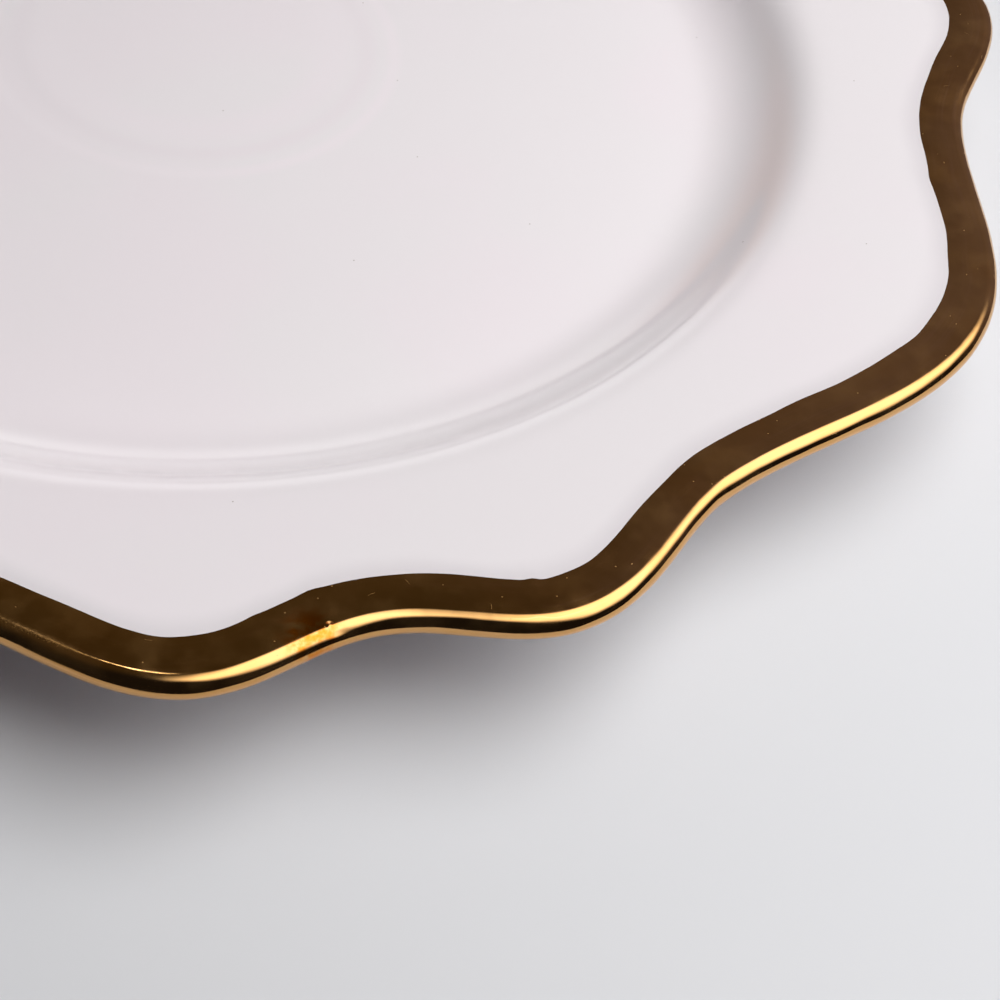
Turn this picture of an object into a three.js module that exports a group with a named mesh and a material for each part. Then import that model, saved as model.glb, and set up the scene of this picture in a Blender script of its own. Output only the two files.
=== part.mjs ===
// A round porcelain serving platter with a scalloped rim, a gold-painted edge and a bare foot ring.
// Millimetres, +Z up. The origin is on the table, under the middle of the well.
import * as THREE from "three";

// Section through the platter, from the middle outwards. Every thickness includes the glaze.
const FOOT_HEIGHT = 4.3; // from the table to the underside of the well
const WALL = 4.2; // floor, shoulder and rim alike
const FLOOR_RADIUS = 94.2; // flat floor of the well
const HOLLOW_RADIUS = 20.5; // the shoulder's lower, hollow bend, on the front
const CREST_RADIUS = 12.7; // the shoulder's upper, rounded bend, on the front
const SHOULDER_SLOPE = THREE.MathUtils.degToRad(47); // where the two bends meet
const RIM_SLOPE = THREE.MathUtils.degToRad(9); // the rim still climbs to its edge
const COAT = 0.3; // glaze, and the gold where that takes its place

// Outline of the rim, seen from above: pairs of narrow lobes, with one broad lobe between two pairs.
const LOBE_PAIRS = 4;
const VALLEY_RIM_WIDTH = 24.7; // from the shoulder's end to the deepest inward curves
const BROAD_LOBE_RISE = 11.3; // how far each tip or dip lies outside those curves
const PAIR_LOBE_RISE = 9.9;
const PAIR_DIP_RISE = 2.2;
const PAIR_LOBE_PLACE = 0.23; // along half a repeat: 0 at a pair's middle, 1 at a broad lobe's tip
const VALLEY_PLACE = 0.532;
const PAIR_DIRECTION = -Math.PI / 2; // a pair of lobes faces -Y

// Gold band, measured in from the outermost edge.
const GOLD_FRONT_WIDTH = 8.4;
const GOLD_BACK_WIDTH = 4;

// Foot ring under the floor's edge, and the support ring under its middle.
const FOOT_ROOT_WIDTH = 7;
const FOOT_CONTACT_WIDTH = 3;
const SUPPORT_RADIUS = 31.7; // to the middle of the ring
const SUPPORT_ROOT_WIDTH = 5;
const SUPPORT_CONTACT_WIDTH = 2.4;
const SUPPORT_CLEARANCE = 0.4; // it stops this far above the table
const BARE_HEIGHT = 1; // both rings are wiped free of glaze this far up their sides

// Facets: the well is round, and the rim has two steps for each of its steps.
const WELL_STEPS = 60;
const RIM_STEPS = 2 * WELL_STEPS;
const BEND_STEPS = 3;
const LIP_STEPS = 4;
const TURN_SLIGHTLY = 1e-4; // radians, for the edge's direction in plan

// Heights and radii that follow from those sizes.
const floorTop = FOOT_HEIGHT + WALL;
const lipRadius = WALL / 2;
const hollowCentre = new THREE.Vector2(FLOOR_RADIUS, floorTop + HOLLOW_RADIUS);
const crestCentre = new THREE.Vector2(
  hollowCentre.x + (HOLLOW_RADIUS + CREST_RADIUS) * Math.sin(SHOULDER_SLOPE),
  hollowCentre.y - (HOLLOW_RADIUS + CREST_RADIUS) * Math.cos(SHOULDER_SLOPE),
);
const rimStart = onCrest(RIM_SLOPE, CREST_RADIUS);
const valleyRadius = rimStart.x + VALLEY_RIM_WIDTH;
const rimRise = Math.tan(RIM_SLOPE);

// Sections are drawn through a valley. A point's x is its radius there and its y is its height.
function onHollow(slope, radius) {
  return new THREE.Vector2(
    hollowCentre.x + radius * Math.sin(slope),
    hollowCentre.y - radius * Math.cos(slope),
  );
}

function onCrest(slope, radius) {
  return new THREE.Vector2(
    crestCentre.x - radius * Math.sin(slope),
    crestCentre.y + radius * Math.cos(slope),
  );
}

// A point of the rim's front or, a wall lower, of its back.
function onRim(inset, depth) {
  const x = valleyRadius - inset;
  const front = rimStart.y + rimRise * (x - rimStart.x);
  return new THREE.Vector2(x, front - depth / Math.cos(RIM_SLOPE));
}

// The points of a bend, from one slope to another, with both ends.
function bend(point, radius, from, to, steps = BEND_STEPS) {
  return Array.from({ length: steps + 1 }, (_, i) =>
    point(THREE.MathUtils.lerp(from, to, i / steps), radius),
  );
}

// The rounded lip, from the rim's front to its back.
function lip() {
  const centre = onRim(lipRadius, lipRadius);
  return Array.from({ length: LIP_STEPS + 1 }, (_, i) => {
    const tilt = (Math.PI * i) / LIP_STEPS - RIM_SLOPE;
    return new THREE.Vector2(
      centre.x + lipRadius * Math.sin(tilt),
      centre.y + lipRadius * Math.cos(tilt),
    );
  });
}

// One side of a ring that stands under the floor: its root, the line where the glaze stops, its tip.
function ringSide(rootRadius, tipRadius, tipHeight) {
  const root = new THREE.Vector2(rootRadius, FOOT_HEIGHT);
  const tip = new THREE.Vector2(tipRadius, tipHeight);
  const share = BARE_HEIGHT / (FOOT_HEIGHT - tipHeight);
  return { root, line: tip.clone().lerp(root, share), tip };
}

const footTaper = (FOOT_ROOT_WIDTH - FOOT_CONTACT_WIDTH) / 2;
const footInside = FLOOR_RADIUS - FOOT_ROOT_WIDTH;
const footOuter = ringSide(FLOOR_RADIUS, FLOOR_RADIUS - footTaper, 0);
const footInner = ringSide(footInside, footInside + footTaper, 0);
const supportOuter = ringSide(
  SUPPORT_RADIUS + SUPPORT_ROOT_WIDTH / 2,
  SUPPORT_RADIUS + SUPPORT_CONTACT_WIDTH / 2,
  SUPPORT_CLEARANCE,
);
const supportInner = ringSide(
  SUPPORT_RADIUS - SUPPORT_ROOT_WIDTH / 2,
  SUPPORT_RADIUS - SUPPORT_CONTACT_WIDTH / 2,
  SUPPORT_CLEARANCE,
);

// The section's outer line, from the middle of the front, over the lip, to the middle of the base.
// Each stretch starts where the one before it ends.
const goldStart = onRim(GOLD_FRONT_WIDTH, 0);
const goldEnd = onRim(GOLD_BACK_WIDTH, WALL);
const stretches = [
  {
    coat: "front_glaze",
    line: [
      new THREE.Vector2(0, floorTop),
      ...bend(onHollow, HOLLOW_RADIUS, 0, SHOULDER_SLOPE),
      ...bend(onCrest, CREST_RADIUS, SHOULDER_SLOPE, RIM_SLOPE).slice(1),
      goldStart,
    ],
  },
  { coat: "gold_band", line: [goldStart, ...lip(), goldEnd] },
  {
    coat: "back_glaze",
    line: [
      goldEnd,
      ...bend(onCrest, CREST_RADIUS - WALL, RIM_SLOPE, SHOULDER_SLOPE),
      ...bend(onHollow, HOLLOW_RADIUS + WALL, SHOULDER_SLOPE, 0).slice(1),
      footOuter.line,
    ],
  },
  { line: [footOuter.line, footOuter.tip, footInner.tip, footInner.line] },
  {
    coat: "base_glaze",
    line: [footInner.line, footInner.root, supportOuter.root, supportOuter.line],
  },
  {
    line: [supportOuter.line, supportOuter.tip, supportInner.tip, supportInner.line],
  },
  {
    coat: "centre_glaze",
    line: [supportInner.line, supportInner.root, new THREE.Vector2(0, FOOT_HEIGHT)],
  },
];

// The same stretches with the coat taken off, moved in square to the section's outer line.
function withoutCoat(lines) {
  const whole = lines.flatMap((line, i) => (i ? line.slice(1) : line));
  const square = (from, to) => {
    const along = to.clone().sub(from).normalize();
    return new THREE.Vector2(along.y, -along.x);
  };
  const moved = whole.map((point, i) => {
    const before = i ? square(whole[i - 1], point) : null;
    const after = i < whole.length - 1 ? square(point, whole[i + 1]) : null;
    const first = before ?? after;
    const last = after ?? before;
    const middle = first.clone().add(last).normalize();
    return point.clone().addScaledVector(middle, COAT / middle.dot(first));
  });
  let start = 0;
  return lines.map((line) => {
    const part = moved.slice(start, start + line.length);
    start += line.length - 1;
    return part;
  });
}

// Radius of the rim's outermost edge. Tips and dips follow each other in smooth waves.
function edgeRadius(turn) {
  const repeats = (turn / (2 * Math.PI)) * LOBE_PAIRS;
  const share = 2 * Math.abs(repeats - Math.round(repeats));
  const knots = [
    [0, PAIR_DIP_RISE],
    [PAIR_LOBE_PLACE, PAIR_LOBE_RISE],
    [VALLEY_PLACE, 0],
    [1, BROAD_LOBE_RISE],
  ];
  const next = Math.max(1, knots.findIndex(([at]) => share <= at));
  const [fromPlace, fromRise] = knots[next - 1];
  const [toPlace, toRise] = knots[next];
  const wave = (1 - Math.cos((Math.PI * (share - fromPlace)) / (toPlace - fromPlace))) / 2;
  return valleyRadius + THREE.MathUtils.lerp(fromRise, toRise, wave);
}

function edgePoint(turn) {
  const radius = edgeRadius(turn);
  return new THREE.Vector2(radius * Math.cos(turn), radius * Math.sin(turn));
}

// A point of the section turned about the axis. The well stays round, and the gold band keeps
// its width inside the wavy edge. The rim is one cone, so it is higher where it reaches further.
function place(point, turn) {
  if (point.x <= crestCentre.x) {
    const angle = turn + PAIR_DIRECTION;
    return new THREE.Vector3(point.x * Math.cos(angle), point.x * Math.sin(angle), point.y);
  }
  const along = edgePoint(turn + TURN_SLIGHTLY).sub(edgePoint(turn - TURN_SLIGHTLY)).normalize();
  const inwards = new THREE.Vector2(-along.y, along.x);
  const plan = edgePoint(turn).addScaledVector(inwards, valleyRadius - point.x);
  const height = point.y + rimRise * (plan.length() - point.x);
  plan.rotateAround(new THREE.Vector2(), PAIR_DIRECTION);
  return new THREE.Vector3(plan.x, plan.y, height);
}

function ring(point) {
  if (point.x === 0) return [new THREE.Vector3(0, 0, point.y)];
  const steps = point.x <= crestCentre.x ? WELL_STEPS : RIM_STEPS;
  return Array.from({ length: steps }, (_, i) => place(point, (2 * Math.PI * i) / steps));
}

// Triangles between two rings. They face left of the way from the first ring to the second.
function between(first, second) {
  const triangles = [];
  const steps = Math.max(first.length, second.length);
  const at = (points, i) => points[Math.floor((i * points.length) / steps) % points.length];
  for (let i = 0; i < steps; i++) {
    const [a, b] = [at(first, i), at(first, i + 1)];
    const [c, d] = [at(second, i), at(second, i + 1)];
    if (c !== d) triangles.push([a, c, d]);
    if (a !== b) triangles.push([a, d, b]);
  }
  return triangles;
}

function sheet(line) {
  const rings = line.map(ring);
  return rings.slice(1).flatMap((next, i) => between(rings[i], next));
}

function turnedOver(triangles) {
  return triangles.map(([a, b, c]) => [a, c, b]);
}

// The step from the bare line up to the coat's surface, at one point of the section.
function coatEdge(core, outer) {
  return core.x === 0 ? [] : sheet([core, outer]);
}

function mesh(name, triangles, material) {
  const geometry = new THREE.BufferGeometry().setFromPoints(triangles.flat());
  geometry.computeVertexNormals();
  const made = new THREE.Mesh(geometry, material);
  made.name = name;
  return made;
}

const finishes = {
  porcelain: { color: 0xeeeae4, roughness: 0.6, metalness: 0 },
  glaze: { color: 0xeae4e6, roughness: 0.12, metalness: 0 },
  gold: { color: 0xb98b3a, roughness: 0.15, metalness: 1 },
};

const platter = new THREE.Group();
const cores = withoutCoat(stretches.map((stretch) => stretch.line));
const body = [];
stretches.forEach(({ coat, line }, i) => {
  const core = cores[i];
  const startEdge = coatEdge(core[0], line[0]);
  const endEdge = coatEdge(core.at(-1), line.at(-1));
  if (!coat) {
    body.push(...startEdge, ...sheet(line), ...turnedOver(endEdge));
    return;
  }
  body.push(...sheet(core));
  const skin = [...sheet(line), ...turnedOver(sheet(core)), ...startEdge, ...turnedOver(endEdge)];
  const finish = coat === "gold_band" ? finishes.gold : finishes.glaze;
  platter.add(mesh(coat, skin, new THREE.MeshStandardMaterial(finish)));
});
platter.add(mesh("porcelain_body", body, new THREE.MeshStandardMaterial(finishes.porcelain)));

export default platter;
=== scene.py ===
import math

import bpy
import numpy as np
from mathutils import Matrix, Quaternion, Vector


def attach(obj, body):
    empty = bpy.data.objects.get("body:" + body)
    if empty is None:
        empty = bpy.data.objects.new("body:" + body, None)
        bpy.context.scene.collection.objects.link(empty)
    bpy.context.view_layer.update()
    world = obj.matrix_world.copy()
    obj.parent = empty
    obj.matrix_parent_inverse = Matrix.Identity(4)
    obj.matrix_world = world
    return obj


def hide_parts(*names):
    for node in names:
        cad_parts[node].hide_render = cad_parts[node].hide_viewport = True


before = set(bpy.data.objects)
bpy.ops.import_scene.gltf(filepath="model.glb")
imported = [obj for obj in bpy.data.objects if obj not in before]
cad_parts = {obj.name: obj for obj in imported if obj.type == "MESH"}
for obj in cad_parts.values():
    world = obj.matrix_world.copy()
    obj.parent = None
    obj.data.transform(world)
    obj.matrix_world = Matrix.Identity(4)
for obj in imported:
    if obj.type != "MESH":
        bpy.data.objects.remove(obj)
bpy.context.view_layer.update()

# Porcelain body
# One piece of pressed porcelain: a flat round well, a shoulder and a broad rim that is cut to a wavy edge.
# Its foot ring and the small ring under the middle were wiped before firing, so their tips are bare clay.
MM = 0.001  # sizes are in millimetres, and this turns them into metres
TURNS = 1200
FOOT_HEIGHT = 4.3
WALL = 4.2
COAT = 0.3
FLOOR_RADIUS = 94.2
HOLLOW_RADIUS = 20.5
CREST_RADIUS = 12.7
SHOULDER_SLOPE = math.radians(47)
SHOULDER_EASE = 1.1
RIM_SLOPE = math.radians(9)
VALLEY_RIM_WIDTH = 24.7
LOBE_PAIRS = 4
# Tips and dips of the edge: share of the way from a pair's middle to the next broad lobe's tip, and rise.
EDGE_KNOTS = ((0.0, 2.2), (0.23, 9.9), (0.532, 0.0), (1.0, 11.3))
PAIR_DIRECTION = -math.pi / 2
LIP_RADIUS = WALL / 2
SUPPORT_RADIUS = 31.7
FLOOR_SAG = 0.2
RIPPLE_HEIGHT = 0.02
RIPPLE_WIDTH = 2.6

rim_rise = math.tan(RIM_SLOPE)
floor_top = FOOT_HEIGHT + WALL
hollow_height = floor_top + HOLLOW_RADIUS
crest_reach = HOLLOW_RADIUS + CREST_RADIUS
crest_x = FLOOR_RADIUS + crest_reach * math.sin(SHOULDER_SLOPE)
crest_height = hollow_height - crest_reach * math.cos(SHOULDER_SLOPE)
rim_start = crest_x - CREST_RADIUS * math.sin(RIM_SLOPE)
rim_start_height = crest_height + CREST_RADIUS * math.cos(RIM_SLOPE)
valley_radius = rim_start + VALLEY_RIM_WIDTH
turns = np.arange(TURNS) * 2 * math.pi / TURNS
around = np.stack([np.cos(turns + PAIR_DIRECTION), np.sin(turns + PAIR_DIRECTION)], axis=1)


def edge_line(turn):
    """Plan of the outermost edge: tips and dips that follow each other in smooth waves."""
    repeats = turn / (2 * math.pi) * LOBE_PAIRS
    share = 2 * np.abs(repeats - np.round(repeats))
    rise = np.zeros_like(share)
    for (from_place, from_rise), (to_place, to_rise) in zip(EDGE_KNOTS, EDGE_KNOTS[1:]):
        here = (share >= from_place) & (share <= to_place)
        wave = (1 - np.cos(math.pi * (share - from_place) / (to_place - from_place))) / 2
        rise = np.where(here, from_rise + (to_rise - from_rise) * wave, rise)
    angle = turn + PAIR_DIRECTION
    return (valley_radius + rise)[:, None] * np.stack([np.cos(angle), np.sin(angle)], axis=1)


SMALL_TURN = 1e-4
edge = edge_line(turns)
edge_along = edge_line(turns + SMALL_TURN) - edge_line(turns - SMALL_TURN)
edge_along /= np.linalg.norm(edge_along, axis=1)[:, None]
edge_inwards = np.stack([-edge_along[:, 1], edge_along[:, 0]], axis=1)

# The glaze eases the shoulder's two bends into each other.
PROFILE_STEP = 0.1
EASE_SPREADS = 4
ease_reach = EASE_SPREADS * SHOULDER_EASE
profile_radii = np.arange(FLOOR_RADIUS - 2 * ease_reach, rim_start + 2 * ease_reach, PROFILE_STEP)
hollow_lean = np.clip((profile_radii - FLOOR_RADIUS) / HOLLOW_RADIUS, 0, math.sin(SHOULDER_SLOPE))
crest_lean = np.clip((crest_x - profile_radii) / CREST_RADIUS, math.sin(RIM_SLOPE), math.sin(SHOULDER_SLOPE))
steepness = np.tan(np.arcsin(np.minimum(hollow_lean, crest_lean)))
ease_steps = round(ease_reach / PROFILE_STEP)
ease_places = np.arange(-ease_steps, ease_steps + 1) * PROFILE_STEP
ease = np.exp(-((ease_places / SHOULDER_EASE) ** 2) / 2)
eased = np.convolve(np.pad(steepness, ease_steps, mode="edge"), ease / ease.sum(), mode="valid")
rises = np.concatenate([[0], (eased[1:] + eased[:-1]) / 2 * PROFILE_STEP])
profile_heights = floor_top + np.cumsum(rises)


def front_height(radius):
    """Height of the glazed well and shoulder. The floor sags, and stands proud over the inner ring."""
    sag = FLOOR_SAG * np.sin(math.pi * np.clip(radius / FLOOR_RADIUS, 0, 1)) ** 2
    ripple = RIPPLE_HEIGHT * np.exp(-(((radius - SUPPORT_RADIUS) / RIPPLE_WIDTH) ** 2))
    return np.interp(radius, profile_radii, profile_heights) - sag + ripple


def level(plan, height):
    return np.column_stack([plan, np.broadcast_to(height, len(plan))])


def round_ring(radius, height):
    """A ring of the well, the shoulder or the foot, at one radius or at one for each turn."""
    return level(around * np.broadcast_to(radius, TURNS)[:, None], height)


def axis_point(height):
    return np.array([[0.0, 0.0, height]])


def front_rings(radii, depth):
    return [round_ring(radius, front_height(radius) - depth) for radius in radii]


def under_rings(depth, steps):
    """Rings of the shoulder's underside, from the rim in to the foot."""
    hollow = HOLLOW_RADIUS + depth
    crest = CREST_RADIUS - depth
    rings = []
    for slope in np.linspace(RIM_SLOPE, SHOULDER_SLOPE, steps + 1):
        radius = crest_x - crest * math.sin(slope)
        rings.append(round_ring(radius, crest_height + crest * math.cos(slope)))
    for slope in np.linspace(SHOULDER_SLOPE, 0, steps + 1)[1:]:
        radius = FLOOR_RADIUS + hollow * math.sin(slope)
        rings.append(round_ring(radius, hollow_height - hollow * math.cos(slope)))
    return rings


def rim_height(plan, depth):
    """Height of the rim's front, or of a face that lies deeper in it: the rim is one cone."""
    front = rim_start_height + rim_rise * (np.linalg.norm(plan, axis=1) - rim_start)
    return front - depth / math.cos(RIM_SLOPE)


def rim_ring(inset, depth):
    """A ring of the rim that follows the wavy edge at a distance."""
    plan = edge + edge_inwards * np.broadcast_to(inset, TURNS)[:, None]
    return level(plan, rim_height(plan, depth))


def lip_ring(tilt, radius):
    """A ring of the rounded lip: tilt 0 points up, a quarter turn points straight out."""
    centre = edge + edge_inwards * LIP_RADIUS
    radius = np.broadcast_to(radius, TURNS)
    plan = centre - edge_inwards * (radius * math.sin(tilt))[:, None]
    return level(plan, rim_height(centre, LIP_RADIUS) + radius * math.cos(tilt))


def lip_tilts(steps):
    return np.linspace(-RIM_SLOPE, math.pi - RIM_SLOPE, steps + 1)


WOBBLE_WAVES = (9, 17, 31, 53, 88, 140, 230)


def wobble(amount, seed):
    """Small slow swings of a line drawn or wiped by hand, in millimetres, for each turn."""
    draw = np.random.default_rng(seed)
    swings = np.zeros(TURNS)
    for waves in WOBBLE_WAVES:
        swings += draw.normal() * np.sin(waves * turns + draw.uniform(0, 2 * math.pi)) / math.sqrt(waves)
    return amount * swings


FOOT_ROOT_WIDTH = 7.0
FOOT_CONTACT_WIDTH = 3.0
SUPPORT_ROOT_WIDTH = 5.0
SUPPORT_CONTACT_WIDTH = 2.4
SUPPORT_CLEARANCE = 0.4
BARE_HEIGHT = 1.0
BARE_STEP = 0.1
TIP_ROUNDING = 0.5
TIP_RINGS = 5
WIPE_WOBBLE = 0.25


class RingSide:
    """One side of the foot or of the support ring, from its bare tip up to its root."""

    def __init__(self, root, tip, tip_height, into_wall, seed):
        self.root = root
        self.tip = tip
        self.tip_height = tip_height
        self.into_wall = into_wall
        self.wiped = BARE_HEIGHT + wobble(WIPE_WOBBLE, seed)

    def ring(self, height, inset=0.0):
        """A ring at that height above the tip, moved into the wall by the inset."""
        share = height / (FOOT_HEIGHT - self.tip_height)
        radius = self.tip + (self.root - self.tip) * share + self.into_wall * inset
        return round_ring(radius, self.tip_height + height)

    def bare(self):
        """The unglazed part, from the wiped line round the corner to the flat tip."""
        rings = [self.ring(self.wiped, COAT), self.ring(self.wiped, BARE_STEP)]
        for angle in np.linspace(0, math.pi / 2, TIP_RINGS):
            height = TIP_ROUNDING * (1 - math.sin(angle))
            rings.append(self.ring(height, BARE_STEP + TIP_ROUNDING * (1 - math.cos(angle))))
        return rings


foot_inside = FLOOR_RADIUS - FOOT_ROOT_WIDTH
foot_taper = (FOOT_ROOT_WIDTH - FOOT_CONTACT_WIDTH) / 2
support_root = SUPPORT_ROOT_WIDTH / 2
support_tip = SUPPORT_CONTACT_WIDTH / 2
foot_outer = RingSide(FLOOR_RADIUS, FLOOR_RADIUS - foot_taper, tip_height=0.0, into_wall=-1, seed=21)
foot_inner = RingSide(foot_inside, foot_inside + foot_taper, tip_height=0.0, into_wall=1, seed=22)
support_outer = RingSide(SUPPORT_RADIUS + support_root, SUPPORT_RADIUS + support_tip,
                         tip_height=SUPPORT_CLEARANCE, into_wall=-1, seed=23)
support_inner = RingSide(SUPPORT_RADIUS - support_root, SUPPORT_RADIUS - support_tip,
                         tip_height=SUPPORT_CLEARANCE, into_wall=1, seed=24)

CORE_RIM_INSET = 10.0
CORE_STEPS = 8
CORE_FLOOR_RADII = (15, 90)
CORE_FLOOR_RINGS = 6
CORE_SHOULDER_START = 92
CORE_SHOULDER_STEP = 2
core_base = FOOT_HEIGHT + COAT
core_radii = np.concatenate([np.linspace(*CORE_FLOOR_RADII, CORE_FLOOR_RINGS),
                             np.arange(CORE_SHOULDER_START, rim_start, CORE_SHOULDER_STEP)])
body_rings = [
    axis_point(front_height(0.0) - COAT),
    *front_rings(core_radii, COAT),
    rim_ring(CORE_RIM_INSET, COAT),
    *[lip_ring(tilt, LIP_RADIUS - COAT) for tilt in lip_tilts(CORE_STEPS)],
    rim_ring(CORE_RIM_INSET, WALL - COAT),
    *under_rings(WALL - COAT, CORE_STEPS),
    *foot_outer.bare(),
    *foot_inner.bare()[::-1],
    round_ring(foot_inside + COAT, core_base),
    round_ring(SUPPORT_RADIUS + support_root - COAT, core_base),
    *support_outer.bare(),
    *support_inner.bare()[::-1],
    round_ring(SUPPORT_RADIUS - support_root + COAT, core_base),
    axis_point(core_base),
]


SHARP_ANGLE = math.radians(50)


def skin(name, rings, closed, finish):
    """A mesh through the rings in order. They start and end on the axis, or close on themselves."""
    starts = np.cumsum([0] + [len(ring) for ring in rings])
    pairs = list(zip(range(len(rings)), range(1, len(rings))))
    if closed:
        pairs.append((len(rings) - 1, 0))
    here = np.arange(TURNS)
    after = (here + 1) % TURNS
    faces = []
    for one, other in pairs:
        if len(rings[one]) == 1:
            corners = (np.full(TURNS, starts[one]), starts[other] + here, starts[other] + after)
        elif len(rings[other]) == 1:
            corners = (starts[one] + here, np.full(TURNS, starts[other]), starts[one] + after)
        else:
            corners = (starts[one] + here, starts[other] + here, starts[other] + after, starts[one] + after)
        faces.extend(np.stack(corners, axis=1).tolist())
    mesh = bpy.data.meshes.new(name)
    mesh.from_pydata((np.concatenate(rings) * MM).tolist(), [], faces)
    mesh.shade_smooth()
    mesh.set_sharp_from_angle(angle=SHARP_ANGLE)
    mesh.materials.append(finish)
    piece = bpy.data.objects.new(name, mesh)
    bpy.context.collection.objects.link(piece)
    return piece


def material(name):
    made = bpy.data.materials.new(name)
    made.use_nodes = True
    return made, made.node_tree, made.node_tree.nodes["Principled BSDF"]


def feed(tree, socket, value):
    """Link another node's output to a socket, or set the socket's own value."""
    if isinstance(value, bpy.types.NodeSocket):
        tree.links.new(value, socket)
    else:
        socket.default_value = value


def node(tree, kind, *inputs, **values):
    """A node with inputs in their order, and with properties or named sockets by their names."""
    made = tree.nodes.new("ShaderNode" + kind)
    for key, value in values.items():
        if hasattr(made, key):
            setattr(made, key, value)
    for key, value in values.items():
        if not hasattr(made, key):
            feed(tree, made.inputs[key.replace("_", " ")], value)
    for socket, value in zip(made.inputs, inputs):
        feed(tree, socket, value)
    return made


def maths(tree, operation, *inputs):
    """The result of one sum on numbers or on other nodes' outputs."""
    return node(tree, "Math", *inputs, operation=operation).outputs[0]


def object_place(tree):
    return node(tree, "TexCoord").outputs["Object"]


def clouds(tree, place, size, detail=2.0):
    """Soft irregular patches of about that size in metres, from 0 to 1."""
    return node(tree, "TexNoise", Vector=place, Scale=1 / size, Detail=detail).outputs["Fac"]


def between(tree, value, start, end, low=0.0, high=1.0):
    """Goes smoothly from low to high as the value goes from start to end."""
    made = node(tree, "MapRange", Value=value, From_Min=start, From_Max=end, To_Min=low, To_Max=high,
                interpolation_type="SMOOTHSTEP")
    return made.outputs["Result"]


def patches(tree, place, size, detail, start, end, low=0.0, high=1.0):
    """Clouds that go from low to high between two levels."""
    return between(tree, clouds(tree, place, size, detail), start, end, low, high)


def tinted(tree, share, plain, tint):
    return node(tree, "Mix", Factor=share, A=plain, B=tint, data_type="RGBA").outputs["Result"]


SPECK_CORE = 0.4


def specks(tree, place, spacing, size, share):
    """Round spots of that radius in metres, in a share of the cells of a loose net."""
    net = node(tree, "TexVoronoi", Vector=place, Scale=1 / spacing, voronoi_dimensions="2D")
    spot = between(tree, net.outputs["Distance"], size / spacing, SPECK_CORE * size / spacing)
    chance = node(tree, "SeparateColor", net.outputs["Color"]).outputs["Red"]
    return maths(tree, "MULTIPLY", spot, maths(tree, "LESS_THAN", chance, share))


def raised(tree, height, distance, normal=None):
    """The surface normal over a relief of that height in metres, on top of another relief."""
    made = node(tree, "Bump", Height=height, Distance=distance, Strength=1.0)
    if normal:
        tree.links.new(normal, made.inputs["Normal"])
    return made.outputs["Normal"]


BISQUE = (0.74, 0.70, 0.64, 1)
BISQUE_SHADE = (0.66, 0.61, 0.54, 1)
GRIT = (0.30, 0.24, 0.19, 1)
RUB_GREY = (0.40, 0.39, 0.38, 1)
RUB_HEIGHT = 0.25 * MM
CLAY_CLOUDS = dict(size=6 * MM, detail=4.0)
GRIT_SPECKS = dict(spacing=1.6 * MM, size=0.12 * MM, share=0.35)
SCUFFS = dict(size=2.5 * MM, detail=5.0, start=0.45, end=0.7)
GRAIN = dict(size=0.35 * MM, detail=3.0)
GRAIN_ROUGHNESS = dict(start=0.3, end=0.7, low=0.55, high=0.8)
GRAIN_HEIGHT = 0.03 * MM
bisque, tree, shader = material("bare_porcelain")
place = object_place(tree)
colour = tinted(tree, clouds(tree, place, **CLAY_CLOUDS), BISQUE, BISQUE_SHADE)
colour = tinted(tree, specks(tree, place, **GRIT_SPECKS), colour, GRIT)
height = node(tree, "SeparateXYZ", place).outputs["Z"]
standing = between(tree, height, RUB_HEIGHT, 0.0)
scuffed = patches(tree, place, **SCUFFS)
colour = tinted(tree, maths(tree, "MULTIPLY", standing, scuffed), colour, RUB_GREY)
feed(tree, shader.inputs["Base Color"], colour)
grain = clouds(tree, place, **GRAIN)
feed(tree, shader.inputs["Roughness"], between(tree, grain, **GRAIN_ROUGHNESS))
feed(tree, shader.inputs["Normal"], raised(tree, grain, GRAIN_HEIGHT))
porcelain = skin("bare_body", body_rings, False, bisque)
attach(porcelain, "root")
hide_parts("porcelain_body")

# Front glaze
# A thin coat of clear glass, fired over the white porcelain of the well, the shoulder and the rim.
# The gold is painted over its edge and takes its place here. A faint ring shows over the support ring.
GOLD_FRONT_WIDTH = 8.4
PAINTED_SHADE_WIDTH = 4.5
BRUSH_WOBBLE = 0.35
# Where the brush strayed: the turn in degrees, and the reach and half length in millimetres.
BRUSH_MARKS = ((-5.2, 0.16, 1.0), (-2.3, 0.30, 1.2), (7.8, 0.35, 1.2), (59.6, 0.20, 2.0),
               (118.0, -0.30, 1.8), (206.0, 0.35, 1.4), (291.0, -0.25, 2.2))


def along_edge(turn_degrees):
    """How far each turn lies along the edge from one direction, in millimetres."""
    apart = (turns - math.radians(turn_degrees) + math.pi) % (2 * math.pi) - math.pi
    return apart * valley_radius


gold_front = GOLD_FRONT_WIDTH + wobble(BRUSH_WOBBLE, seed=3)
for turn, reach, half_length in BRUSH_MARKS:
    gold_front += reach * np.exp(-((along_edge(turn) / half_length) ** 2))

rim_from = rim_start + ease_reach


def rim_between(start_radius, inset, depth, share):
    """A ring of the rim on the way from the round shoulder to a line along the wavy edge."""
    start = around * start_radius
    end = edge + edge_inwards * np.broadcast_to(inset, TURNS)[:, None]
    plan = start + (end - start) * share
    return level(plan, rim_height(plan, depth))


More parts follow.
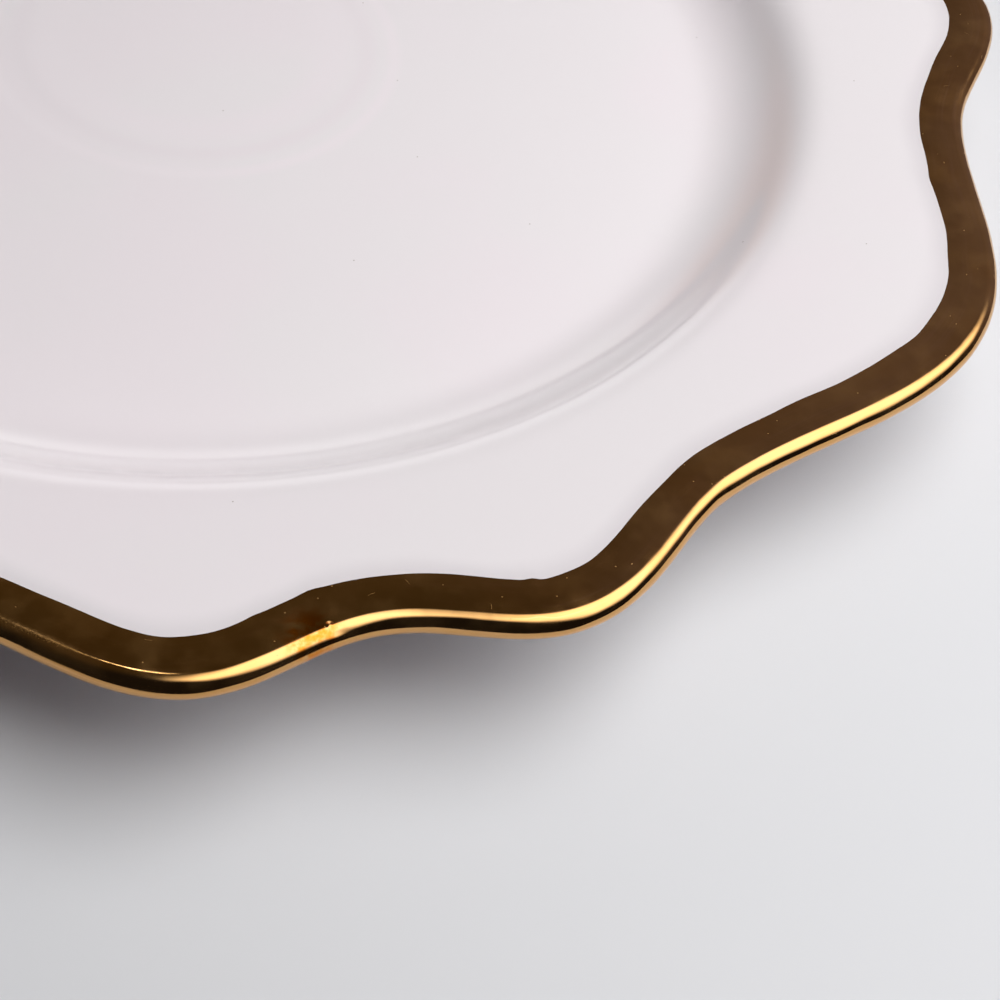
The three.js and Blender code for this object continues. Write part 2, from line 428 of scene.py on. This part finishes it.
# The floor's rings, as spans with a start, an end and a step. They lie closest over the support ring.
FLOOR_SPANS = ((6, 24, 9), (24, 42, 2), (44, 88, 8))
SHOULDER_RINGS = 36
RIM_RINGS = 9
floor_radii = np.concatenate([np.arange(*span) for span in FLOOR_SPANS])
shoulder_radii = np.linspace(FLOOR_RADIUS - ease_reach, rim_from, SHOULDER_RINGS)
rim_shares = np.linspace(0, 1, RIM_RINGS + 1)[1:]
front_coat = [
    axis_point(front_height(0.0)),
    *front_rings(floor_radii, 0.0),
    *front_rings(shoulder_radii, 0.0),
    *[rim_between(rim_from, gold_front, 0.0, share) for share in rim_shares],
    rim_between(rim_from, gold_front, COAT, 1),
    *front_rings(core_radii[::-1], COAT),
    axis_point(front_height(0.0) - COAT),
]

GLAZE = (0.868, 0.800, 0.828, 1)
GLAZE_PALE = (0.858, 0.810, 0.827, 1)
# Painted shade: the glaze's colour right beside the gold, darker than the rest of it.
GLAZE_PAINTED_SHADE = (0.765, 0.717, 0.738, 1)
GLAZE_SPECK = (0.42, 0.36, 0.33, 1)
GLAZE_RING = (0.852, 0.787, 0.814, 1)
GLAZE_RING_EDGE = (0.880, 0.814, 0.841, 1)
GLAZE_RING_INSIDE = (0.872, 0.807, 0.834, 1)
RING_CENTRE = (0.2, -0.1, 8.4)
# The ring's bands from the inside out: radius and half width in millimetres, and tint.
RING_BANDS = ((25.5, 6.0, GLAZE_RING_INSIDE), (31.8, 3.0, GLAZE_RING), (36.9, 2.2, GLAZE_RING_EDGE))
GLAZE_CLOUDS = dict(size=45 * MM, detail=2.0, start=0.35, end=0.65)
GLAZE_SPECKS = dict(spacing=16 * MM, size=0.16 * MM, share=0.2)
GLAZE_ROUGHNESS = dict(size=18 * MM, detail=5.0, start=0.4, end=0.75, low=0.09, high=0.15)
GLAZE_RIPPLE = 5 * MM
GLAZE_RIPPLE_HEIGHT = 0.006 * MM


def distance_from(tree, place, centre):
    """How far a place on the object lies from one point, given in millimetres."""
    point = tuple(part * MM for part in centre)
    return node(tree, "VectorMath", place, point, operation="DISTANCE").outputs["Value"]


def glaze_material(name):
    """White porcelain under clear glass: hardly clouded, with a few fired-in specks and a slight ripple.

    It shows a faint ring with paler edges over the support ring, and a painted shade makes it a little darker
    beside the gold.
    """
    made, tree, shader = material(name)
    place = object_place(tree)
    colour = tinted(tree, patches(tree, place, **GLAZE_CLOUDS), GLAZE, GLAZE_PALE)
    away = distance_from(tree, place, RING_CENTRE)
    for radius, half_width, tint in RING_BANDS:
        apart = maths(tree, "ABSOLUTE", maths(tree, "SUBTRACT", away, radius * MM))
        colour = tinted(tree, between(tree, apart, half_width * MM, 0.0), colour, tint)
    colour = tinted(tree, specks(tree, place, **GLAZE_SPECKS), colour, GLAZE_SPECK)
    painted_shade_beside_gold = node(tree, "Attribute", attribute_name="painted_shade_beside_gold").outputs["Fac"]
    # Painted shade: the glaze darkens towards the gold, standing in for shading there.
    colour = tinted(tree, between(tree, painted_shade_beside_gold, 0.0, 1.0), colour, GLAZE_PAINTED_SHADE)
    feed(tree, shader.inputs["Base Color"], colour)
    feed(tree, shader.inputs["Roughness"], patches(tree, place, **GLAZE_ROUGHNESS))
    feed(tree, shader.inputs["Normal"], raised(tree, clouds(tree, place, GLAZE_RIPPLE), GLAZE_RIPPLE_HEIGHT))
    return made


def point_values(piece, name, values):
    """Store one number for each point of a piece, for its finish to read."""
    piece.data.attributes.new(name, "FLOAT", "POINT").data.foreach_set("value", values.ravel())


glaze = glaze_material("white_glaze")
front = skin("front_coat", front_coat, False, glaze)
gold_line = rim_ring(gold_front, 0.0)
from_gold = []
for ring in front_coat:
    on_axis = len(ring) == 1
    from_gold.append([PAINTED_SHADE_WIDTH] if on_axis else np.linalg.norm(ring - gold_line, axis=1))
# Painted shade: store how near each point lies to the gold, for the glaze's painted shade.
point_values(front, "painted_shade_beside_gold", np.clip(1 - np.concatenate(from_gold) / PAINTED_SHADE_WIDTH, 0, 1))
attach(front, "root")
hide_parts("front_glaze")

# Back glaze
# The same glass coat under the rim and the shoulder. It gathers in the corner of the foot ring
# and ends in a wiped, slightly wavy line on the foot's side.
GOLD_BACK_WIDTH = 4.0
BACK_WOBBLE = 0.5
ROOT_FILLET = 1.4
ROOT_RINGS = 7
BACK_RIM_RINGS = 14
BACK_SHOULDER_STEPS = 18
# The coat's soft edge: heights above the wiped line, and how far it draws into the wall there.
COAT_EDGE = ((0.4, 0.0), (0.12, 0.02), (0.02, 0.07), (0.0, COAT))
gold_back = GOLD_BACK_WIDTH + wobble(BACK_WOBBLE, seed=8)


def rounded_root(side):
    """Rings of the rounded corner where the glaze runs from the base onto a ring's side."""
    rings = []
    for angle in np.linspace(0, math.pi / 2, ROOT_RINGS):
        height = FOOT_HEIGHT - side.tip_height - ROOT_FILLET * (1 - math.cos(angle))
        rings.append(side.ring(height, -ROOT_FILLET * (1 - math.sin(angle))))
    return rings


def coat_end(side):
    """Rings of the coat's soft edge above the bare tip."""
    return [side.ring(side.wiped + height, inset) for height, inset in COAT_EDGE]


under_start = crest_x - (CREST_RADIUS - WALL) * math.sin(RIM_SLOPE)
back_coat = [
    *[rim_between(under_start, gold_back, WALL, share) for share in np.linspace(1, 0, BACK_RIM_RINGS)],
    *under_rings(WALL, BACK_SHOULDER_STEPS)[1:-1],
    *rounded_root(foot_outer),
    *coat_end(foot_outer),
    *under_rings(WALL - COAT, CORE_STEPS)[::-1],
    rim_between(under_start, gold_back, WALL - COAT, 1),
]
back = skin("back_coat", back_coat, True, glaze)
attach(back, "root")
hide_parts("back_glaze")

# Base and centre glaze
# Between the two bare rings, and inside the inner one, the underside was glazed with the rest.
# The glass shows the faint rings that the forming tool left in the clay.
TOOL_RING_HEIGHT = 0.025
TOOL_RING_PITCH = 3.7
TOOL_RING_DRIFT = 23.0
BASE_RINGS = 56
CENTRE_RINGS = 30
CENTRE_RING_START = 1.0


def base_rings(start_radius, end_radius, count):
    rings = []
    for radius in np.linspace(start_radius, end_radius, count):
        ridge = math.sin(2 * math.pi * radius / TOOL_RING_PITCH)
        swell = math.sin(2 * math.pi * radius / TOOL_RING_DRIFT)
        rings.append(round_ring(radius, FOOT_HEIGHT + TOOL_RING_HEIGHT * (ridge * swell)))
    return rings


base_coat = [
    *coat_end(foot_inner)[::-1],
    *rounded_root(foot_inner)[::-1],
    *base_rings(foot_inside - 2 * ROOT_FILLET, SUPPORT_RADIUS + support_root + 2 * ROOT_FILLET, BASE_RINGS),
    *rounded_root(support_outer),
    *coat_end(support_outer),
    round_ring(SUPPORT_RADIUS + support_root - COAT, core_base),
    round_ring(foot_inside + COAT, core_base),
]
base = skin("base_coat", base_coat, True, glaze)
centre_coat = [
    axis_point(core_base),
    round_ring(SUPPORT_RADIUS - support_root + COAT, core_base),
    *coat_end(support_inner)[::-1],
    *rounded_root(support_inner)[::-1],
    *base_rings(SUPPORT_RADIUS - support_root - 2 * ROOT_FILLET, CENTRE_RING_START, CENTRE_RINGS),
    axis_point(FOOT_HEIGHT),
]
centre = skin("centre_coat", centre_coat, False, glaze)
for piece, covered in ((base, "base_glaze"), (centre, "centre_glaze")):
    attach(piece, "root")
    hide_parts(covered)

# Gold band
# Liquid gold brushed over the fired glaze along the wavy edge, round the lip and a little under it,
# then fired again and burnished. It keeps brush streaks, scratches, specks, smudges and a nick on the lip.
GOLD_FILM = 0.02
GOLD_CROWN = 0.05
GOLD_FRONT_RINGS = 8
GOLD_BACK_RINGS = 4
LIP_STEPS = 36
LIP_SEED = 5
LIP_WAVES = (23, 37, 61, 95, 131)
LIP_WAVE_HEIGHT = 0.008
LIP_WAVE_TWIST = 2.5
# Nicks and bumps: turn and tilt in degrees, rise and half length in millimetres, half height in degrees.
LIP_MARKS = ((-2.2, 35, -0.13, 1.2, 14), (97, 22, -0.08, 0.9, 12), (171, 50, 0.06, 1.4, 16),
             (262, 30, -0.07, 1.1, 12))
lip_start = LIP_RADIUS * (1 + math.sin(RIM_SLOPE))
lip_end = LIP_RADIUS * (1 - math.sin(RIM_SLOPE))
lip_phases = np.random.default_rng(LIP_SEED).uniform(0, 2 * math.pi, len(LIP_WAVES))


def painted_lip(tilt):
    """A ring of the gold on the lip, which isn't quite even under the brush."""
    uneven = np.zeros(TURNS)
    for waves, phase in zip(LIP_WAVES, lip_phases):
        uneven += LIP_WAVE_HEIGHT * np.sin(waves * turns + phase + LIP_WAVE_TWIST * tilt)
    for turn, mark_tilt, rise, half_length, half_tilt in LIP_MARKS:
        lengthwise = along_edge(turn) / half_length
        crosswise = (math.degrees(tilt) - mark_tilt) / half_tilt
        uneven += rise * np.exp(-(lengthwise**2) - crosswise**2)
    settled = math.sin(tilt + RIM_SLOPE)
    return lip_ring(tilt, LIP_RADIUS + GOLD_FILM + uneven * settled)


def painted_front(share):
    """A ring of the gold's broad front, which lies a trace thicker in its middle."""
    film = GOLD_FILM + GOLD_CROWN * math.sin(math.pi * share)
    return rim_ring(gold_front + (lip_start - gold_front) * share, -film)


def painted_back(share):
    return rim_ring(lip_end + (gold_back - lip_end) * share, WALL + GOLD_FILM)


gold_rings = [
    *[painted_front(share) for share in np.linspace(0, 1, GOLD_FRONT_RINGS + 1)[:-1]],
    *[painted_lip(tilt) for tilt in lip_tilts(LIP_STEPS)],
    *[painted_back(share) for share in np.linspace(0, 1, GOLD_BACK_RINGS + 1)[1:]],
    rim_ring(gold_back, WALL - COAT),
    *[lip_ring(tilt, LIP_RADIUS - COAT) for tilt in lip_tilts(CORE_STEPS)[::-1]],
    rim_ring(gold_front, COAT),
]


def around_place(tree, place, centre, radius, core):
    """1 within the core of one spot on the object, falling to 0 at its radius. Sizes in millimetres."""
    return between(tree, distance_from(tree, place, centre), radius * MM, core * MM)


def shifted(tree, place, amount, reach):
    """The place, moved by colour noise of that reach in metres, so that a net or a line on it bends."""
    moved = node(tree, "VectorMath", amount, (reach, reach, reach), place, operation="MULTIPLY_ADD")
    return moved.outputs["Vector"]


def hair_lines(tree, place, spacing, length, width, share):
    """Short scratches in all directions, one in a share of the cells of a loose net. Sizes in metres.

    A scratch bends by up to a third of its length, and fades out towards its ends and its sides.
    """
    noise = node(tree, "TexNoise", Vector=place, Scale=1 / length, Detail=0.0).outputs["Color"]
    bent = shifted(tree, place, noise, length / 3)
    net = node(tree, "TexVoronoi", Vector=bent, Scale=1 / spacing, voronoi_dimensions="2D")
    chances = node(tree, "SeparateColor", net.outputs["Color"])
    offset = node(tree, "VectorMath", bent, net.outputs["Position"], operation="SUBTRACT").outputs["Vector"]
    turned = node(tree, "VectorRotate", Vector=offset, rotation_type="Z_AXIS",
                  Angle=maths(tree, "MULTIPLY", chances.outputs["Green"], math.tau)).outputs["Vector"]
    parts = node(tree, "SeparateXYZ", turned)
    from_middle = maths(tree, "ABSOLUTE", parts.outputs["X"])
    from_line = maths(tree, "ABSOLUTE", parts.outputs["Y"])
    lengthwise = between(tree, from_middle, length / 2, length / 3)
    crosswise = between(tree, from_line, width / 2, width / 4)
    line = maths(tree, "MULTIPLY", lengthwise, crosswise)
    return maths(tree, "MULTIPLY", line, maths(tree, "LESS_THAN", chances.outputs["Red"], share))


GOLD = (0.68, 0.38, 0.14, 1)
GOLD_RED = (0.645, 0.34, 0.11, 1)
GOLD_STREAK = (0.705, 0.395, 0.165, 1)
GOLD_DEEP = (0.66, 0.21, 0.015, 1)
THICK_GOLD = (-9.6, -143.1, 23.1)
THICK_GOLD_RADIUS = 5.5
THICK_GOLD_CORE = 2.0
GOLD_DROP = (-6.82, -142.1, 23.0)
GOLD_DROP_RADIUS = 0.75
GOLD_DROP_HEIGHT = 0.16
RUBBED = (-43.5, -135.0, 23.0)
RUBBED_RADIUS = 16.0
RUBBED_CORE = 2.0
RUBBED_ACROSS = 6.3
RUBBED_WIDTH = 1.6
RUBBED_ROUGHNESS = dict(size=0.25 * MM, detail=3.0, start=0.3, end=0.7, low=0.15, high=0.31)
STREAK_LENGTH = 22 * MM
STREAK_WIDTH = 0.4
STREAK_DETAIL = 3.0
STREAK_HEIGHT = 0.003 * MM
STREAK_TINT = dict(start=0.5, end=0.75)
RED_CLOUDS = dict(size=13 * MM, detail=4.0, start=0.4, end=0.7)
THICK_CLOUDS = dict(size=1.5 * MM, detail=4.0, start=0.35, end=0.6)
RAGGED_SIZE = 0.25 * MM
RAGGED_REACH = 0.3 * MM
GOLD_SPECKS = dict(spacing=2.4 * MM, size=0.14 * MM, share=0.09)
HAIR_SCRATCHES = dict(spacing=5 * MM, length=1.2 * MM, width=0.05 * MM, share=0.09)
SMUDGES = dict(size=6 * MM, detail=8.0, start=0.44, end=0.68, high=0.03)
GOLD_ROUGHNESS = dict(size=8 * MM, detail=6.0, start=0.4, end=0.75, low=0.07, high=0.2)
MARK_FILM = 0.08
MARK_ROUGHNESS = 0.4
GOLD_SWELL = 6 * MM
GOLD_SWELL_HEIGHT = 0.05 * MM
gold, tree, shader = material("painted_gold")
place = object_place(tree)
across = node(tree, "Attribute", attribute_name="across").outputs["Fac"]
brush_across = node(tree, "CombineXYZ", Z=maths(tree, "DIVIDE", across, STREAK_WIDTH)).outputs["Vector"]
brush_place = node(tree, "VectorMath", place, (1 / STREAK_LENGTH, 1 / STREAK_LENGTH, 0), brush_across,
                   operation="MULTIPLY_ADD").outputs["Vector"]
streaks = clouds(tree, brush_place, 1.0, STREAK_DETAIL)
noise = node(tree, "TexNoise", Vector=place, Scale=1 / RAGGED_SIZE).outputs["Color"]
ragged = shifted(tree, place, noise, RAGGED_REACH)
marks = maths(tree, "MAXIMUM", specks(tree, ragged, **GOLD_SPECKS),
              hair_lines(tree, place, **HAIR_SCRATCHES))
colour = tinted(tree, patches(tree, place, **RED_CLOUDS), GOLD, GOLD_RED)
colour = tinted(tree, between(tree, streaks, **STREAK_TINT), colour, GOLD_STREAK)
thick = around_place(tree, place, THICK_GOLD, THICK_GOLD_RADIUS, THICK_GOLD_CORE)
thick = maths(tree, "MULTIPLY", thick, patches(tree, place, **THICK_CLOUDS))
colour = tinted(tree, thick, colour, GOLD_DEEP)
feed(tree, shader.inputs["Base Color"], colour)
film = maths(tree, "MAXIMUM", patches(tree, place, **SMUDGES), maths(tree, "MULTIPLY", marks, MARK_FILM))
feed(tree, shader.inputs["Metallic"], maths(tree, "SUBTRACT", 1.0, film))
haze = patches(tree, place, **GOLD_ROUGHNESS)
from_rubbed_line = maths(tree, "ABSOLUTE", maths(tree, "SUBTRACT", across, RUBBED_ACROSS))
rubbed = maths(tree, "MULTIPLY", around_place(tree, place, RUBBED, RUBBED_RADIUS, RUBBED_CORE),
               between(tree, from_rubbed_line, RUBBED_WIDTH, 0.0))
rubbed = maths(tree, "MULTIPLY", rubbed, patches(tree, place, **RUBBED_ROUGHNESS))
dull = maths(tree, "MAXIMUM", rubbed, maths(tree, "MULTIPLY", marks, MARK_ROUGHNESS))
feed(tree, shader.inputs["Roughness"], maths(tree, "MAXIMUM", haze, dull))
relief = raised(tree, clouds(tree, place, GOLD_SWELL), GOLD_SWELL_HEIGHT)
drop = around_place(tree, place, GOLD_DROP, GOLD_DROP_RADIUS, core=0.0)
relief = raised(tree, drop, GOLD_DROP_HEIGHT * MM, relief)
feed(tree, shader.inputs["Normal"], raised(tree, streaks, STREAK_HEIGHT, relief))
band = skin("gold_edge", gold_rings, True, gold)
steps_across = np.linalg.norm(np.diff(np.stack(gold_rings), axis=0), axis=2)
across_band = np.concatenate([np.zeros((1, TURNS)), np.cumsum(steps_across, axis=0)])
point_values(band, "across", across_band)
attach(band, "root")
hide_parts("gold_band")

# Table
# A plain pale top that the platter stands on, with its sizes in metres. Beyond its near part
# only the camera sees it go on, into the pale surround, so the gold mirrors a dim room.
TABLE_REACH = 6.0
TABLE_NEAR = 0.30
TABLE_FADE = 0.45
TABLE_FRONT = -0.196
TABLE_EDGE = 0.012
PALE_FROM = 0.22
PALE_TO = 0.42
TABLE_COLOUR = (0.69, 0.69, 0.71, 1)
TABLE_ROUGHNESS = 0.6
TABLE_GLOSS = 0.35
SURROUND = (0.72, 0.72, 0.73, 1)
table_mesh = bpy.data.meshes.new("table")
corners = [(x * TABLE_REACH, y * TABLE_REACH, 0) for x, y in ((-1, -1), (1, -1), (1, 1), (-1, 1))]
table_mesh.from_pydata(corners, [], [(0, 1, 2, 3)])
table = bpy.data.objects.new("table", table_mesh)
bpy.context.collection.objects.link(table)
table_top, tree, shader = material("table_top")
shader.inputs["Base Color"].default_value = TABLE_COLOUR
shader.inputs["Roughness"].default_value = TABLE_ROUGHNESS
shader.inputs["Specular IOR Level"].default_value = TABLE_GLOSS
place = object_place(tree)
away = node(tree, "VectorMath", place, operation="LENGTH").outputs["Value"]
ahead = node(tree, "SeparateXYZ", place).outputs["Y"]
beyond = maths(tree, "MAXIMUM", between(tree, away, TABLE_NEAR, TABLE_FADE),
               between(tree, ahead, TABLE_FRONT, TABLE_FRONT - TABLE_EDGE))
seen = node(tree, "LightPath").outputs["Is Camera Ray"]
unseen = node(tree, "Math", beyond, seen, operation="SUBTRACT", use_clamp=True)
gone = node(tree, "BsdfTransparent").outputs[0]
distant = maths(tree, "MULTIPLY", between(tree, away, PALE_FROM, PALE_TO), seen)
pale = node(tree, "Emission", SURROUND).outputs[0]
top = node(tree, "MixShader", distant, shader.outputs[0], pale).outputs[0]
both = node(tree, "MixShader", unseen.outputs[0], top, gone)
feed(tree, tree.nodes["Material Output"].inputs["Surface"], both.outputs[0])
table_mesh.materials.append(table_top)

# Light
# One large soft lamp above to the right, and a narrow strip lamp behind the platter.
# The large one is drawn as two lamps: a panel that shows only in gloss, and a diffuser that only lights.
KEY_LAMP = dict(azimuth=115, elevation=58, size=(0.84, 0.90))


def lamp(name, azimuth, elevation, distance, size, power, core):
    """An area lamp that fades from a core of that share of its width to its edge."""
    data = bpy.data.lights.new(name, "AREA")
    data.shape = "RECTANGLE"
    data.size, data.size_y = size
    data.energy = power
    data.use_nodes = True
    tree = data.node_tree
    spot = node(tree, "SeparateXYZ", node(tree, "NewGeometry").outputs["Parametric"])
    glow = []
    for axis in ("X", "Y"):
        from_middle = maths(tree, "ABSOLUTE", maths(tree, "SUBTRACT", spot.outputs[axis], 1 / 2))
        glow.append(between(tree, from_middle, 1 / 2, core / 2))
    feed(tree, tree.nodes["Emission"].inputs["Strength"], maths(tree, "MULTIPLY", *glow))
    made = bpy.data.objects.new(name, data)
    bpy.context.collection.objects.link(made)
    turn = math.radians(azimuth)
    rise = math.radians(elevation)
    towards = Vector((math.sin(turn) * math.cos(rise), math.cos(turn) * math.cos(rise), math.sin(rise)))
    made.location = towards * distance
    made.rotation_euler = towards.to_track_quat("Z", "Y").to_euler()
    return made


key_panel = lamp("key_panel", **KEY_LAMP, distance=0.55, power=6.4, core=0.4)
key_panel.visible_diffuse = False
key_diffuser = lamp("key_diffuser", **KEY_LAMP, distance=0.56, power=7.6, core=0.56)
key_diffuser.visible_glossy = False
lamp("strip_lamp", azimuth=0.6, elevation=58, distance=1.14, size=(0.07, 0.22), power=0.30, core=0.56)

# Room
# A dim warm room, darkest in front, with one low wall behind the platter: pale, but warm and dim to its left.
# Room and wall show only in gloss. The camera sees a pale surround, and all else gets a faint even light.
ROOM_BACK = (0.0503, 0.0386, 0.0210, 1)
ROOM_RIGHT = (0.112, 0.0945, 0.107, 1)
ROOM_FRONT = (0.012, 0.011, 0.012, 1)
WALL_PALE = (1.6, 1.57, 1.55, 1)
WALL_WARM = (0.75, 0.36, 0.2, 1)
AMBIENT = (0.025, 0.025, 0.026, 1)
WALL_TOP = math.sin(math.radians(9))
WALL_FADE = math.sin(math.radians(28))
WALL_RIGHT = math.radians(13)
WALL_SIDE_FADE = math.radians(13)
WALL_TURN_WARM = math.radians(8)
WALL_WARM_FADE = math.radians(6)
WALL_LEFT = math.radians(-45)
RIGHT_START = 0.18
RIGHT_FULL = 0.40
BRIGHTER_BELOW = 0.68
BRIGHTEST_BELOW = 0.54
BRIGHTEST = 1.3
FRONT_END = -0.3
BACK_START = 0.4
world = bpy.data.worlds.new("room")
bpy.context.scene.world = world
world.use_nodes = True
tree = world.node_tree
direction = node(tree, "SeparateXYZ", node(tree, "TexCoord").outputs["Generated"])
rays = node(tree, "LightPath")
room = tinted(tree, between(tree, direction.outputs["X"], RIGHT_START, RIGHT_FULL), ROOM_BACK, ROOM_RIGHT)
lower = between(tree, direction.outputs["Z"], BRIGHTER_BELOW, BRIGHTEST_BELOW, 1.0, BRIGHTEST)
room = node(tree, "VectorMath", room, operation="SCALE", Scale=lower).outputs["Vector"]
room = tinted(tree, between(tree, direction.outputs["Y"], FRONT_END, BACK_START), ROOM_FRONT, room)
low = between(tree, direction.outputs["Z"], WALL_FADE, WALL_TOP)
azimuth = maths(tree, "ARCTAN2", direction.outputs["X"], direction.outputs["Y"])
behind = maths(tree, "MULTIPLY", between(tree, azimuth, WALL_RIGHT + WALL_SIDE_FADE, WALL_RIGHT),
               between(tree, azimuth, WALL_LEFT - WALL_SIDE_FADE, WALL_LEFT))
on_wall = maths(tree, "MULTIPLY", low, behind)
warm_end = between(tree, azimuth, WALL_TURN_WARM, WALL_TURN_WARM - WALL_WARM_FADE)
wall = tinted(tree, warm_end, WALL_PALE, WALL_WARM)
mirrored_wall = maths(tree, "MULTIPLY", on_wall, rays.outputs["Is Glossy Ray"])
room = tinted(tree, rays.outputs["Is Glossy Ray"], AMBIENT, room)
room = tinted(tree, mirrored_wall, room, wall)
room = tinted(tree, rays.outputs["Is Camera Ray"], room, SURROUND)
feed(tree, tree.nodes["Background"].inputs["Color"], room)

# Camera
# It stands in front of the platter, a little to the left, and looks down at the near right part of the rim.
IMAGE_WIDTH_PIXELS = 1000
FOCAL_PIXELS = 1731
CAMERA_PLACE = Vector((-43.2, -265.48, 211.91)) * MM
CAMERA_AIM = Vector((22.22, -123.97, 20.0)) * MM
CAMERA_ROLL = math.radians(11.2)
SENSOR_WIDTH = 36
CLIP_START = 0.01
camera_data = bpy.data.cameras.new("camera")
camera_data.sensor_width = SENSOR_WIDTH
camera_data.lens = FOCAL_PIXELS / IMAGE_WIDTH_PIXELS * camera_data.sensor_width
camera_data.clip_start = CLIP_START
camera = bpy.data.objects.new("camera", camera_data)
bpy.context.collection.objects.link(camera)
camera.location = CAMERA_PLACE
camera.rotation_mode = "QUATERNION"
look = (CAMERA_AIM - CAMERA_PLACE).to_track_quat("-Z", "Y")
camera.rotation_quaternion = look @ Quaternion((0, 0, 1), CAMERA_ROLL)
bpy.context.scene.camera = camera
bpy.context.scene.view_settings.view_transform = "Standard"
